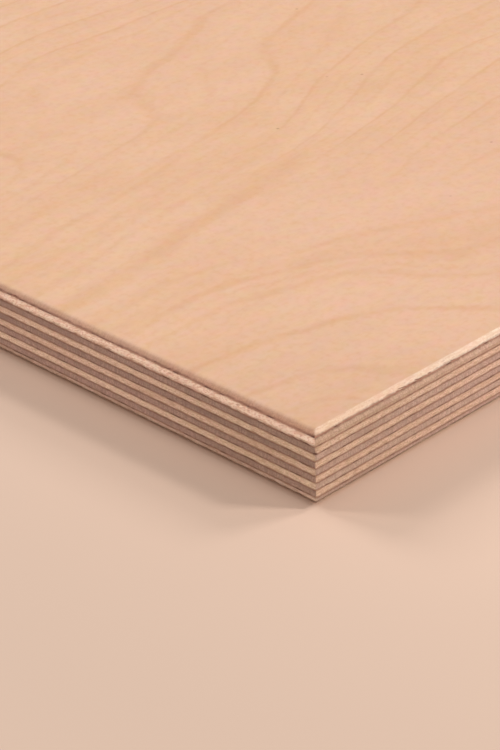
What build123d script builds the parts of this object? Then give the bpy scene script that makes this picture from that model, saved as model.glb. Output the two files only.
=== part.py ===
"""Birch plywood panel, 15 mm thick, cut to size, with its long and short arrises eased.

Eleven rotary-cut veneers lie on each other with their grain turned a quarter turn from
ply to ply, and a dark film of phenolic glue bonds each pair. The face and the back are
sanded, so they are thinner than the inner plies. After pressing, the stack was trimmed
square and the four arrises of each face were bevelled, so every veneer and every glue
line ends on the finished edge profile.

Frame: millimetres, origin at the middle of the underside, +Z up through the face,
+X along the grain of the face veneer.
"""

from build123d import *
import os

# The cut size of the panel: the face grain runs along its length
PANEL_LENGTH = 600.0
PANEL_WIDTH = 400.0

# The lay-up: an odd number of plies, so that both faces run the same way
INNER_PLY_COUNT = 9
FACE_PLY_THICKNESS = 0.96
INNER_PLY_THICKNESS = 1.32
BACK_PLY_THICKNESS = 0.96
GLUE_LINE_THICKNESS = 0.12

# The bevel on the arrises of the face and of the back, measured square to each surface
FACE_BEVEL = 1.7
BACK_BEVEL = 1.7


def lay_up():
    """The layers from the face down, as (name, thickness), with a glue line in each joint."""
    plies = [("ply_01_face", FACE_PLY_THICKNESS)]
    for number in range(2, INNER_PLY_COUNT + 2):
        grain = "cross" if number % 2 == 0 else "long"
        plies.append((f"ply_{number:02d}_{grain}", INNER_PLY_THICKNESS))
    plies.append((f"ply_{INNER_PLY_COUNT + 2:02d}_back", BACK_PLY_THICKNESS))

    layers = []
    for number, ply in enumerate(plies, start=1):
        layers.append(ply)
        if number < len(plies):
            layers.append((f"glue_line_{number:02d}", GLUE_LINE_THICKNESS))
    return layers


def eased_panel(thickness):
    """The trimmed and bevelled panel as one block, standing on its underside."""
    block = Box(
        PANEL_LENGTH,
        PANEL_WIDTH,
        thickness,
        align=(Align.CENTER, Align.CENTER, Align.MIN),
    )
    faces = block.faces().sort_by(Axis.Z)
    back_arrises = faces[0].edges()
    eased = chamfer(back_arrises, BACK_BEVEL)
    face_arrises = eased.faces().sort_by(Axis.Z)[-1].edges()
    return chamfer(face_arrises, FACE_BEVEL)


def slab(bottom, thickness):
    """A level slab as wide as the panel, from which the panel's profile cuts one layer."""
    plate = Box(
        PANEL_LENGTH,
        PANEL_WIDTH,
        thickness,
        align=(Align.CENTER, Align.CENTER, Align.MIN),
    )
    return Pos(0, 0, bottom) * plate


def build_layers():
    """Each layer as its own solid, cut to the eased profile, by name."""
    layers = lay_up()
    top = sum(thickness for _, thickness in layers)
    panel = eased_panel(top)
    solids = {}
    for name, thickness in layers:
        bottom = top - thickness
        solids[name] = (panel & slab(bottom, thickness)).solid()
        top = bottom
    return solids


def main():
    os.makedirs("parts", exist_ok=True)
    for name, solid in build_layers().items():
        export_step(solid, f"parts/{name}.step")


main()
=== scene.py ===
# %% [markdown]
# # A sheet of birch plywood
# The sheet is eleven veneers of birch, laid crosswise and bonded with dark glue. All of
# its character is in two places: the calm, sanded face with its faint arches of growth
# rings, and the cut edge, where pale and dark stripes tell which way each veneer runs.
# The exact solids come first, as a fixed frame that says where everything is. The rest
# dresses them, with new meshes whose edges are worn, and with wood that is made of nodes.

# %% The frame
import math
import random
from functools import partial

import bmesh
import bpy
from mathutils import Matrix, Vector


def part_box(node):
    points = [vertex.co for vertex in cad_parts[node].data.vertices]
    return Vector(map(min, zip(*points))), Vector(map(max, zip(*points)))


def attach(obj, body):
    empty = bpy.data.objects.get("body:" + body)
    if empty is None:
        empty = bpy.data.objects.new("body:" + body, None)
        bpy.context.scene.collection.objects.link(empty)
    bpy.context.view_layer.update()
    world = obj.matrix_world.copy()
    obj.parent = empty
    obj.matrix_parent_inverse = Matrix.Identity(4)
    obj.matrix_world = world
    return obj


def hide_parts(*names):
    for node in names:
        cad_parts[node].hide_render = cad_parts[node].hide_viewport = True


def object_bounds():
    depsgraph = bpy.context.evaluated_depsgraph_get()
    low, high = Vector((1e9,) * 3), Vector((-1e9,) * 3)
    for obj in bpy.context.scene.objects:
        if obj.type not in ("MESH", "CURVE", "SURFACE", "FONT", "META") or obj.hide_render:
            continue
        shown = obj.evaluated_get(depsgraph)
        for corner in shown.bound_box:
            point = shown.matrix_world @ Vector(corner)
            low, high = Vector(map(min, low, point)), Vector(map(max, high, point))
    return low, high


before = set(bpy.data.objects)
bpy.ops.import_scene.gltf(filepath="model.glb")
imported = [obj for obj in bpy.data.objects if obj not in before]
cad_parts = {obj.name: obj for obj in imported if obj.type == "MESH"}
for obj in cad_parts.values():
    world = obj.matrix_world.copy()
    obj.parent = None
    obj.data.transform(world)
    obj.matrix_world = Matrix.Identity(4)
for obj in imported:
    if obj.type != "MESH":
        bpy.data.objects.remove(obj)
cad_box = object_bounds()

MM = 0.001
print("frame:", len(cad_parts), "layers in one body")

# %% [markdown]
# ## Reading the lay-up
# Each node is one layer, and its box says how deep it lies. The sizes of the sheet could
# be typed in again, but read from the frame they can't disagree with it. A layer's name
# says how its grain runs: the face, the back and the long veneers run along the sheet,
# and the cross veneers run across it.

# %% The layers, from the face down
box_low, box_high = cad_box
HALF_LENGTH = (box_high.x - box_low.x) / 2
HALF_WIDTH = (box_high.y - box_low.y) / 2
THICKNESS = box_high.z - box_low.z


def height_of(name):
    """The bottom and the top of a layer."""
    low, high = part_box(name)
    return low.z, high.z


layers = sorted(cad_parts, key=lambda name: -height_of(name)[0])
plies = [name for name in layers if name.startswith("ply")]
glue_lines = [name for name in layers if name.startswith("glue")]
face_ply, back_ply = plies[0], plies[-1]
second_ply, second_last_ply = plies[1], plies[-2]
print("plies:", len(plies), "glue lines:", len(glue_lines), "thickness mm:", round(THICKNESS / MM, 2))

# %% Grain and bevel
AT_THE_TOP = 0.01 * MM


def runs_across(name):
    """Whether the grain of a ply runs across the sheet."""
    return name.endswith("cross")


# The bevel is as wide as the flat face is set back from the ends of the sheet
FACE_END = max(vertex.co.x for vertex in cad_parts[face_ply].data.vertices
               if vertex.co.z > box_high.z - AT_THE_TOP)
BEVEL = HALF_LENGTH - FACE_END
print("cross veneers:", sum(runs_across(name) for name in plies), "bevel mm:", round(BEVEL / MM, 2))

# %% [markdown]
# ## The camera
# A camera comes before the looks, because it decides how large a detail is in the picture.
# It stands a little under half a metre from the nearest corner and looks down on it. A
# long lens keeps the far parts of the edges nearly as large as the near ones. The corner
# is set off the middle of the frame by moving the camera sideways, and not by a lens
# shift, so other views stay true.

# %% The camera
FRAME_WIDTH_PIXELS = 500
FRAME_HEIGHT_PIXELS = 750
CORNER_PIXEL_ACROSS = 316.47
CORNER_PIXEL_DOWN = 510.00
FOCAL_PIXELS = 2630.0
SENSOR = 36.0
AZIMUTH = math.radians(-44.30)
ELEVATION = math.radians(29.36)
ROLL = math.radians(-2.03)
CORNER_DISTANCE = 455.8 * MM
NEAREST_SEEN = 10 * MM
NEAREST_CORNER = Vector((-HALF_LENGTH, -HALF_WIDTH, 0))


def camera_axes():
    """The camera's right, up and backward directions."""
    back = Vector((math.sin(AZIMUTH) * math.cos(ELEVATION), -math.cos(AZIMUTH) * math.cos(ELEVATION),
                   math.sin(ELEVATION)))
    level = Vector((math.cos(AZIMUTH), math.sin(AZIMUTH), 0))
    upright = back.cross(level)
    right = level * math.cos(ROLL) + upright * math.sin(ROLL)
    up = upright * math.cos(ROLL) - level * math.sin(ROLL)
    return right, up, back


def place_camera():
    """Puts the nearest corner of the sheet at its pixel, with the lens aimed straight."""
    right, up, back = camera_axes()
    across = (CORNER_PIXEL_ACROSS - FRAME_WIDTH_PIXELS / 2) / FOCAL_PIXELS * CORNER_DISTANCE
    down = (CORNER_PIXEL_DOWN - FRAME_HEIGHT_PIXELS / 2) / FOCAL_PIXELS * CORNER_DISTANCE
    bpy.ops.object.camera_add(location=NEAREST_CORNER + back * CORNER_DISTANCE - right * across + up * down)
    camera = bpy.context.object
    camera.rotation_mode = "QUATERNION"
    camera.rotation_quaternion = Matrix((right, up, back)).transposed().to_quaternion()
    camera.data.sensor_width = SENSOR
    camera.data.lens = FOCAL_PIXELS * SENSOR / FRAME_HEIGHT_PIXELS
    camera.data.clip_start = NEAREST_SEEN
    bpy.context.scene.camera = camera
    return camera


camera = place_camera()
print("camera mm:", [round(value / MM, 1) for value in camera.location], "lens:", round(camera.data.lens, 1))

# %% [markdown]
# ## The light
# A soft lamp on the right lights the long edge and throws a short shadow to the left. A
# weaker one behind, on the left, does the same the other way, so a bright wedge of floor
# is left in front of the corner. Two broader ones, from the side and from the back, make
# these shadows softer. A low, warm one beside the camera lights the two cut edges, and
# its shadow falls behind the sheet. A pale world fills the rest. The strengths add up to
# about one on the face, so a colour renders about as it is written. One large lamp would
# be simpler, but then the two cut edges couldn't be lit apart from the face.

# %% Lamps and world
LAMP_DISTANCE = 1.8
LAMP_COLOUR = (1.0, 0.965, 0.93)
LOW_LAMP_COLOUR = (1.0, 0.90, 0.85)
# Each lamp: the way to it from the corner, its height in degrees, its share of the light
# on the level face, its size in metres and its colour
LAMPS = {
    "lamp_main": ((0.62, -0.79), 38.5, 0.26, 0.25, LAMP_COLOUR),
    "lamp_side": ((0.94, -0.35), 34.5, 0.185, 0.46, LAMP_COLOUR),
    "lamp_rear": ((-0.56, 0.83), 37.5, 0.135, 0.32, LAMP_COLOUR),
    "lamp_far": ((-0.06, 1.00), 33.0, 0.20, 0.56, LAMP_COLOUR),
    "lamp_low": ((-0.86, -0.50), 25.0, 0.060, 0.60, LOW_LAMP_COLOUR),
}
WORLD_COLOUR = (0.965, 1.0, 0.935)
WORLD_STRENGTH = 0.32


def soft_lamp(name, towards, elevation, share, size, colour):
    """A square lamp aimed at the near corner, as strong on the level face as its share says."""
    angle = math.radians(elevation)
    level = Vector((*towards, 0)).normalized()
    direction = level * math.cos(angle) + Vector((0, 0, math.sin(angle)))
    bpy.ops.object.light_add(type="AREA", location=NEAREST_CORNER + direction * LAMP_DISTANCE)
    lamp = bpy.context.object
    lamp.name = name
    lamp.rotation_mode = "QUATERNION"
    lamp.rotation_quaternion = direction.to_track_quat("Z", "Y")
    lamp.data.size = size
    lamp.data.color = colour
    lamp.data.energy = share * math.pi**2 * LAMP_DISTANCE**2 / math.sin(angle)
    return lamp


bpy.ops.object.select_all(action="DESELECT")
lamps = [soft_lamp(name, *settings) for name, settings in LAMPS.items()]
world = bpy.data.worlds.new("pale_room")
bpy.context.scene.world = world
world.use_nodes = True
world.node_tree.nodes["Background"].inputs["Color"].default_value = (*WORLD_COLOUR, 1)
world.node_tree.nodes["Background"].inputs["Strength"].default_value = WORLD_STRENGTH
bpy.context.scene.view_settings.view_transform = "Standard"
print("lamps:", [(lamp.name, round(lamp.data.energy, 1)) for lamp in lamps])

# %% [markdown]
# ## One block, sliced into layers
# The real stack is pressed, trimmed and bevelled in one go, so every layer shares one
# outline. The same works here: one block gets its bevels, and a copy of it is sliced at
# the bottom and the top of each layer. Modelling 21 flat boxes and fitting their slopes
# to each other would take longer, and a gap would show wherever one of them is off.

# %% Small helpers for edit mode
TINY = 0.001 * MM


def select_only(piece):
    """Deselects everything else and makes the piece active."""
    bpy.ops.object.select_all(action="DESELECT")
    piece.select_set(True)
    bpy.context.view_layer.objects.active = piece


def pick(piece, kind, wanted):
    """In edit mode, selects the faces or edges for which wanted is true."""
    mesh = bmesh.from_edit_mesh(piece.data)
    mesh.normal_update()
    for element in [*mesh.verts, *mesh.edges, *mesh.faces]:
        element.select = False
    for element in getattr(mesh, kind):
        if wanted(element):
            element.select_set(True)
    bmesh.update_edit_mesh(piece.data)


def is_level(edge):
    """Whether an edge lies level."""
    return abs(edge.verts[0].co.z - edge.verts[1].co.z) < TINY


def is_outer_rim(edge):
    """Whether an edge runs round the top or the bottom of the block."""
    height = edge.verts[0].co.z
    return is_level(edge) and (height < TINY or height > THICKNESS - TINY)


print("heights count as the same within mm:", round(TINY / MM, 4))


# %% The bevelled block
def bevelled_block():
    """The whole sheet as one block, with the bevels on its top and bottom arrises."""
    bpy.ops.mesh.primitive_cube_add(size=1, location=(0, 0, THICKNESS / 2))
    block = bpy.context.object
    block.scale = (2 * HALF_LENGTH, 2 * HALF_WIDTH, THICKNESS)
    select_only(block)
    bpy.ops.object.transform_apply(location=True, rotation=True, scale=True)
    bpy.ops.object.mode_set(mode="EDIT")
    bpy.ops.mesh.select_mode(type="EDGE")
    pick(block, "edges", is_outer_rim)
    bpy.ops.mesh.bevel(offset_type="OFFSET", offset=BEVEL, segments=1, affect="EDGES")
    bpy.ops.object.mode_set(mode="OBJECT")
    return block


block = bevelled_block()
print("block:", len(block.data.polygons), "faces")


# %% Slicing one layer out
def slice_layer(name):
    """A copy of the block, cut off below and above the layer."""
    select_only(block)
    bpy.ops.object.duplicate()
    piece = bpy.context.object
    bottom, top = height_of(name)
    bpy.ops.object.mode_set(mode="EDIT")
    bpy.ops.mesh.select_mode(type="FACE")
    for height, cut_below in ((bottom, True), (top, False)):
        if TINY < height < THICKNESS - TINY:
            bpy.ops.mesh.select_all(action="SELECT")
            bpy.ops.mesh.bisect(plane_co=(0, 0, height), plane_no=(0, 0, 1), use_fill=True,
                                clear_inner=cut_below, clear_outer=not cut_below)
    bpy.ops.object.mode_set(mode="OBJECT")
    return piece


# %% [markdown]
# ## Points along the edge
# A sawn edge is never quite true: the glue lines waver, fibres tear and corners lose a
# crumb. The mesh needs points for that, close together along the edge and nowhere else.
# A Subdivision Surface would spend as many on the flat face. So each flat side gets a
# narrow border, the border and the wall are divided into cells, and only the wall's own
# lines are divided again, down to half a millimetre.

# %% Telling the edges of a layer apart
LEVEL = 0.9999
BORDER = 6 * MM
BORDER_MARGIN = 0.5 * MM


def is_cap(face):
    """Whether a face lies level, as the top and bottom of a layer do."""
    return abs(face.normal.z) > LEVEL


def runs_along_sheet(edge):
    """Whether a level edge runs along the sheet."""
    return is_level(edge) and abs(edge.verts[0].co.y - edge.verts[1].co.y) < TINY


def crosses_an_end(edge):
    """Whether a level edge runs across the sheet, within the border at its ends."""
    inner_end = HALF_LENGTH - BEVEL - BORDER - BORDER_MARGIN
    level = is_level(edge) and abs(edge.verts[0].co.x - edge.verts[1].co.x) < TINY
    return level and abs(edge.verts[0].co.x) > inner_end


def is_on_wall(edge):
    """Whether a level edge belongs to the wall."""
    return is_level(edge) and any(not is_cap(face) for face in edge.link_faces)


def climbs_the_wall(edge):
    """Whether an edge goes up the wall."""
    return not is_level(edge)


print("border mm:", round(BORDER / MM, 2))

# %% Dividing a layer
CELLS_ALONG = 100
CELLS_ACROSS = 67
POINTS_IN_CELL = 11


def divide(piece, wanted, parts):
    """Divides the wanted edges, and the faces between them, into equal parts."""
    pick(piece, "edges", wanted)
    bpy.ops.mesh.subdivide(number_cuts=parts - 1)


def divide_layer(piece, rows):
    """Gives a layer a border on its flat sides and close points on its wall."""
    bpy.ops.object.mode_set(mode="EDIT")
    bpy.ops.mesh.select_mode(type="FACE")
    pick(piece, "faces", is_cap)
    bpy.ops.mesh.inset(thickness=BORDER, depth=0, use_individual=True)
    bpy.ops.mesh.select_mode(type="EDGE")
    divide(piece, runs_along_sheet, CELLS_ALONG)
    divide(piece, crosses_an_end, CELLS_ACROSS)
    divide(piece, is_on_wall, POINTS_IN_CELL)
    if rows > 1:
        divide(piece, climbs_the_wall, rows)
    bpy.ops.object.mode_set(mode="OBJECT")


print("points along the wall, mm apart:", round(2 * HALF_LENGTH / MM / CELLS_ALONG / POINTS_IN_CELL, 2))

# %% [markdown]
# ## Softened arrises
# An arris is the line where two sides of a board meet. The sander leaves it crisp along
# the grain and rounds it across the grain, and hands wear it most where two bevels meet.
# One Bevel modifier does all of this, because it rounds each line by the line's own
# weight. In edit mode each kind of line would need a bevel of its own.

# %% A softened arris
ARRIS_WIDTH = 0.55 * MM
LONG_ARRIS_SHARE = 0.40
MITRE_SHARE = 1.2
ARRIS_STEPS = 4


def arris_share(first, second, height):
    """How round an edge of an outer ply becomes: most at a mitre, less on end grain, least on long grain."""
    if abs(first.z - second.z) > TINY:
        return MITRE_SHARE
    if abs(first.z - height) > TINY:
        return 0.0
    return 1.0 if abs(first.x - second.x) < TINY else LONG_ARRIS_SHARE


def soften_arris(piece, height):
    """Rounds the lines where the flat side meets its bevels, and where two bevels meet."""
    mesh = piece.data
    weights = mesh.attributes.new("bevel_weight_edge", "FLOAT", "EDGE")
    for edge in mesh.edges:
        first, second = (mesh.vertices[index].co for index in edge.vertices)
        weights.data[edge.index].value = arris_share(first, second, height)
    select_only(piece)
    rounding = piece.modifiers.new("arris", "BEVEL")
    rounding.limit_method = "WEIGHT"
    rounding.width = ARRIS_WIDTH
    rounding.segments = ARRIS_STEPS
    bpy.ops.object.modifier_apply(modifier=rounding.name)


print("arris mm:", round(ARRIS_WIDTH / MM, 2), "at a mitre:", round(MITRE_SHARE * ARRIS_WIDTH / MM, 2))

# %% [markdown]
# ## Modelled once, copied for the rest
# Seven of the plies and eight of the glue lines are alike before their edges are worn.
# One of each is modelled, and the others are copies, moved to their own height. Linked
# copies would share one mesh. Here each copy has a mesh of its own, because the wear
# comes afterwards and differs on every layer.

# %% Modelling one layer
PLY_ROWS = 4
TORN_PLY_ROWS = 6
GLUE_ROWS = 1


def shape_key(name):
    """What decides a layer's shape: its thickness, and its bevel if it has one."""
    bottom, top = height_of(name)
    in_bevel = bottom < BEVEL - TINY or top > THICKNESS - BEVEL + TINY
    return name if in_bevel else round((top - bottom) / TINY)


def rows_on_wall(name):
    """How many rows of faces the wall of a layer has."""
    if name in glue_lines:
        return GLUE_ROWS
    return TORN_PLY_ROWS if name in (second_ply, second_last_ply) else PLY_ROWS


def model_layer(name):
    """Slices, softens and divides one layer."""
    piece = slice_layer(name)
    if name == face_ply:
        soften_arris(piece, THICKNESS)
    if name == back_ply:
        soften_arris(piece, 0)
    divide_layer(piece, rows_on_wall(name))
    return piece


def copy_layer(source, rise):
    """A copy of a layer, moved up or down in its own mesh."""
    select_only(source)
    bpy.ops.object.duplicate()
    piece = bpy.context.object
    bpy.ops.transform.translate(value=(0, 0, rise))
    bpy.ops.object.transform_apply(location=True, rotation=False, scale=False)
    return piece


print("shapes to model:", len({shape_key(name) for name in layers}))

# %% All the layers
modelled = {}
pieces = {}
for name in layers:
    key = shape_key(name)
    if key in modelled:
        like = modelled[key]
        piece = copy_layer(pieces[like], height_of(name)[0] - height_of(like)[0])
    else:
        modelled[key] = name
        piece = model_layer(name)
    piece.name = "birch_" + name if name in plies else "film_" + name
    pieces[name] = piece
bpy.data.objects.remove(block)
print("modelled:", len(modelled), "copied:", len(pieces) - len(modelled))

# %% [markdown]
# ## What each point remembers
# Some things are kept with the mesh before it is worn. One is a number from 0 at the
# bottom to 1 at the top of the layer, which the materials read later, so that the glue
# stain follows the wavy line. In the back it runs the other way, from its glue line out.
# Two others are the tone of the veneer, from a pale yellow to a deeper pink, and how
# pale its end grain is: each ply comes from a different log, and a stack in one even
# colour looks painted. Eleven materials could do the same. With the numbers, three do.

# %% Height in the layer and tones of the veneer
# From the face down: the tone of each veneer, and how pale its end grain is
VENEER_TONES = (0.78, 0.68, 0.62, 0.60, 0.76, 0.97, 0.90, 0.15, 0.80, 0.90, 0.78)
END_TONES = (0.8, 0.2, 0.55, 0.45, 0.2, 0.30, 1.0, 0.65, 1.0, 0.45, 0.5)


def keep_number(piece, label, values):
    """Stores one number with each point of a mesh."""
    numbers = piece.data.attributes.new(label, "FLOAT", "POINT")
    numbers.data.foreach_set("value", values)


for name, piece in pieces.items():
    bottom, top = height_of(name)
    points = piece.data.vertices
    start, end = (top, bottom) if name == back_ply else (bottom, top)
    keep_number(piece, "layer_height", [(point.co.z - start) / (end - start) for point in points])
    if name in plies:
        keep_number(piece, "veneer_tone", [VENEER_TONES[plies.index(name)]] * len(points))
        keep_number(piece, "end_tone", [END_TONES[plies.index(name)]] * len(points))
print("tones kept on", len(plies), "plies, heights on", len(pieces), "layers")


# %% Where a point of the wall lies
def distance_from_end(place):
    """How far a point lies inside the nearer short edge."""
    return HALF_LENGTH - abs(place.x)


def distance_from_side(place):
    """How far a point lies inside the nearer long edge."""
    return HALF_WIDTH - abs(place.y)


def distance_from_corner(place):
    """How far a point lies from the nearest upright corner."""
    return max(distance_from_end(place), distance_from_side(place))


def on_short_edge(place):
    """Whether a point of the wall belongs to a short edge."""
    return distance_from_end(place) < distance_from_side(place)


def depth_in_sheet(place):
    """How deep a point lies below the nearer flat side."""
    return min(place.z, THICKNESS - place.z)


height_of_layer = {name: height_of(name) for name in layers}


def middle_share(name, place):
    """How near a point lies to the middle of its layer: 1 there, and 0 at the glue."""
    bottom, top = height_of_layer[name]
    return 1 - abs(2 * (place.z - bottom) / (top - bottom) - 1)


def fading(distance, reach):
    """Full where the distance is nothing, and nothing beyond its reach."""
    return max(0.0, 1 - distance / reach)


print("heights of the plies mm:", [round(height_of_layer[name][0] / MM, 2) for name in plies])


# %% The points of the wall
def wall_points(piece):
    """The points of the wall."""
    inside = BEVEL + ARRIS_WIDTH
    return [vertex for vertex in piece.data.vertices
            if min(distance_from_end(vertex.co), distance_from_side(vertex.co)) < inside]


middle_ply = pieces[plies[4]]
print("points in a ply:", len(middle_ply.data.vertices), "on its wall:", len(wall_points(middle_ply)))

# %% [markdown]
# ## Wear on the cut edge
# The saw and the sander leave the edge alive. The glue lines waver by less than a tenth
# of a millimetre, end grain is a little rough, and the second ply tears along the short
# edges, because there the cutter runs along its fibres. Sculpting could show all of this,
# but only once. So each kind of wear is a rule: a vertex group tells where it may work,
# and a Displace modifier with a cloud texture moves the points there. The cloud is read
# through an empty, whose size stretches it, so the same tool gives both long fibres and
# round grain.

# %% One way to wear a layer
def cloud(name, depth):
    """A soft cloud texture for the Displace modifier."""
    texture = bpy.data.textures.new(name, "CLOUDS")
    texture.noise_scale = 1.0
    texture.noise_depth = depth
    return texture


def stretched(name, cell):
    """An empty that makes one cell of a cloud as large as it says, in millimetres."""
    bpy.ops.object.empty_add(location=(0, 0, 0))
    empty = bpy.context.object
    empty.name = name
    empty.scale = [size * MM for size in cell]
    return empty


def add_group(piece, group_name, weight_of):
    """A vertex group of the wall's points, each as strong as weight_of says."""
    group = piece.vertex_groups.new(name=group_name)
    for vertex in wall_points(piece):
        weight = weight_of(vertex.co)
        if weight > 0:
            group.add([vertex.index], weight, "REPLACE")


def wear(piece, group_name, weight_of, texture, cell, depth, direction, resting):
    """
    Moves the wall's points by a cloud, each as far as weight_of lets it. A point stays
    where the cloud is at its resting level. With no cloud, all move alike.
    """
    add_group(piece, group_name, weight_of)
    select_only(piece)
    modifier = piece.modifiers.new("wear_" + group_name, "DISPLACE")
    modifier.vertex_group = group_name
    modifier.texture = texture
    modifier.texture_coords = "OBJECT"
    modifier.texture_coords_object = cell
    modifier.direction = direction
    modifier.strength = depth
    modifier.mid_level = resting
    bpy.ops.object.modifier_apply(modifier=modifier.name)


# %% Clouds and their cells
waver_cell = stretched("waver_cell", (3.4, 3.4, 1.6))
ragged_cell = stretched("ragged_cell", (1.2, 1.3, 1.6))
rough_cell = stretched("rough_cell", (0.9, 0.9, 0.7))
tear_cell = stretched("tear_cell", (0.5, 2.6, 0.35))
crumb_cell = stretched("crumb_cell", (0.8, 0.8, 0.9))
cells = (waver_cell, ragged_cell, rough_cell, tear_cell, crumb_cell)
waver_cloud = cloud("waver_cloud", 2)
rough_cloud = cloud("rough_cloud", 1)
tear_cloud = cloud("tear_cloud", 3)
# The resting level of a cloud decides which way it moves a point
BOTH_WAYS = 0.5
MOSTLY_INWARDS = 0.85
NEARLY_ALL_INWARDS = 0.9
ONLY_INWARDS = 1.0
NO_CLOUD = 0.0
print("cells mm:", [[round(size / MM, 2) for size in cell.scale] for cell in cells])

# %% Wavering glue lines
WAVER = 0.12 * MM
OUTER_KEEP = 0.5 * MM


def seam_weight(place):
    """How freely a point may waver: fully on the glue lines, not at all near the two flat sides."""
    return min(1.0, max(0.0, depth_in_sheet(place) - OUTER_KEEP / 2) / OUTER_KEEP)


for piece in pieces.values():
    wear(piece, "seam", seam_weight, waver_cloud, waver_cell, WAVER, "Z", BOTH_WAYS)
print("waver mm:", WAVER / MM)

# %% Ragged rims
RAGGED = 0.18 * MM
RAGGED_REACH = 0.45 * MM
RAGGED_SIDE_SHARE = 0.8
first_rim, second_rim = (THICKNESS - height_of_layer[name][0] for name in (face_ply, second_ply))


def ragged_weight(place):
    """The ragged rims: under the face's bevel on the long edges, under the torn ply on the short ones."""
    rim, share = (second_rim, 1.0) if on_short_edge(place) else (first_rim, RAGGED_SIDE_SHARE)
    return share * fading(abs(depth_in_sheet(place) - rim), RAGGED_REACH)


for piece in pieces.values():
    wear(piece, "ragged", ragged_weight, waver_cloud, ragged_cell, RAGGED, "Z", BOTH_WAYS)
print("ragged rims, mm below the face:", round(first_rim / MM, 2), round(second_rim / MM, 2))

# %% Rough grain
ROUGH = 0.12 * MM
END_GRAIN_ROUGHNESS = 1.0
LONG_GRAIN_ROUGHNESS = 0.35
SEAM_SHARE = 0.4
SEAM_RISE = 2


def shows_end_grain(name, place):
    """Whether a point of the wall shows the ends of the fibres."""
    return on_short_edge(place) != runs_across(name)


def roughness_weight(name, place):
    """Full on end grain and in the middle of a layer, less on long grain and at the glue."""
    grain = END_GRAIN_ROUGHNESS if shows_end_grain(name, place) else LONG_GRAIN_ROUGHNESS
    seam = SEAM_SHARE + (1 - SEAM_SHARE) * min(1.0, SEAM_RISE * middle_share(name, place))
    return grain * seam * (seam_weight(place) if name in (face_ply, back_ply) else 1.0)


for name in plies:
    wear(pieces[name], "rough", partial(roughness_weight, name), rough_cloud, rough_cell, ROUGH, "NORMAL",
         ONLY_INWARDS)
print("rough mm:", ROUGH / MM)

# %% Torn fibres
TEAR = 0.30 * MM
TORN_AT_CORNER = 0.3
TORN_FADE = 5 * MM
TORN_AT_GLUE = 0.15
TORN_RISE = 3


def torn_weight(name, place):
    """The tearing of the second ply and the last but one, along the short edges."""
    if shows_end_grain(name, place):
        return 0.0
    kept_at_corner = min(1.0, TORN_AT_CORNER + distance_from_side(place) / TORN_FADE)
    return kept_at_corner * min(1.0, TORN_RISE * middle_share(name, place) + TORN_AT_GLUE)


for name in (second_ply, second_last_ply):
    wear(pieces[name], "torn", partial(torn_weight, name), tear_cloud, tear_cell, TEAR, "NORMAL",
         NEARLY_ALL_INWARDS)
print("torn plies:", second_ply, second_last_ply)

# %% The rubbed foot of the bevel
RUBBED = 0.09 * MM
RUBBED_REACH = 0.45 * MM
RUBBED_FADE = 1.0 * MM


def rubbed_weight(place):
    """Full where the bevel meets the wall on the short edges: there the torn ply is rubbed round."""
    clear = min(1.0, max(0.0, distance_from_side(place) - BEVEL) / RUBBED_FADE)
    return clear * fading(abs(depth_in_sheet(place) - BEVEL), RUBBED_REACH) if on_short_edge(place) else 0.0


for name in (second_ply, second_last_ply):
    wear(pieces[name], "rubbed", rubbed_weight, None, crumb_cell, -RUBBED, "NORMAL", NO_CLOUD)
print("rubbed away mm:", RUBBED / MM)

# %% [markdown]
# ## Chips under the face veneer
# The saw breaks crumbs out of the lower rim of the thin face veneer. A boolean could cut
# each of them, but a crumb is only a dent of one to three tenths of a millimetre, so the
# rim's own points are moved up. The ones nearest to the corner are where the picture has
# them, and the others are scattered by chance, with a fixed seed, so that each run gives
# the same sheet.

# %% Chips
CHIP = 0.34 * MM
CHIP_LENGTH = 1.4 * MM
CHIP_FADE = 0.6 * MM
# How far from the corner each chip of the near long edge lies, its length and its depth
CHIPS_SEEN = ((22.4 * MM, 0.5, 0.15), (24.4 * MM, 0.6, 0.3), (27.8 * MM, 0.4, 0.4),
              (29.2 * MM, 0.7, 0.2))
CHIP_COUNT = 44
CHIP_SEED = 11
CHIP_LENGTHS = (0.4, 1.3)
CHIP_DEPTHS = (0.3, 0.9)
first_seam = height_of_layer[face_ply][0]
chance = random.Random(CHIP_SEED)
# Each chip: whether it is on a short edge, its place along the edge, its length and its depth
chips = [(False, -HALF_LENGTH + along, length, depth) for along, length, depth in CHIPS_SEEN]
for number in range(CHIP_COUNT):
    is_on_end = number % 2 == 0
    reach = HALF_WIDTH if is_on_end else HALF_LENGTH
    chips.append((is_on_end, chance.uniform(-reach, reach), chance.uniform(*CHIP_LENGTHS),
                  chance.uniform(*CHIP_DEPTHS)))


def chip_weight(place):
    """How far the lower rim of the face veneer is broken up at a point of its wall."""
    if place.z < first_seam - TINY:
        return 0.0
    on_end = on_short_edge(place)
    along = place.y if on_end else place.x
    depths = [depth * fading(abs(along - middle), CHIP_LENGTH * length / 2)
              for is_on_end, middle, length, depth in chips if is_on_end == on_end]
    return fading(place.z - first_seam, CHIP_FADE) * max(depths)


for name in (face_ply, glue_lines[0]):
    wear(pieces[name], "chip", chip_weight, None, crumb_cell, CHIP, "Z", NO_CLOUD)
print("chips:", len(chips))

# %% [markdown]
# ## Worn corners
# An upright corner takes the knocks, so it crumbles, and at the near one a whole crumb is
# lost. Two walls meet there in one line of points. Along its normal such a point could
# only move on the diagonal between the walls. Moved along the sheet and then across it,
# it can land anywhere nearby, so the corner comes out uneven, as a crumbled one is.

# %% Crumbled corners
CRUMB = 0.26 * MM
CORNER_REACH = 0.7 * MM
# The two axes of the sheet, each with its low and its high side
CORNER_SIDES = ((0, -1), (0, 1), (1, -1), (1, 1))


def corner_weight(axis, side, place):
    """Full at the upright corners of one side of the sheet, and nothing beyond their reach."""
    return fading(distance_from_corner(place), CORNER_REACH) if place[axis] * side > 0 else 0.0


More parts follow.
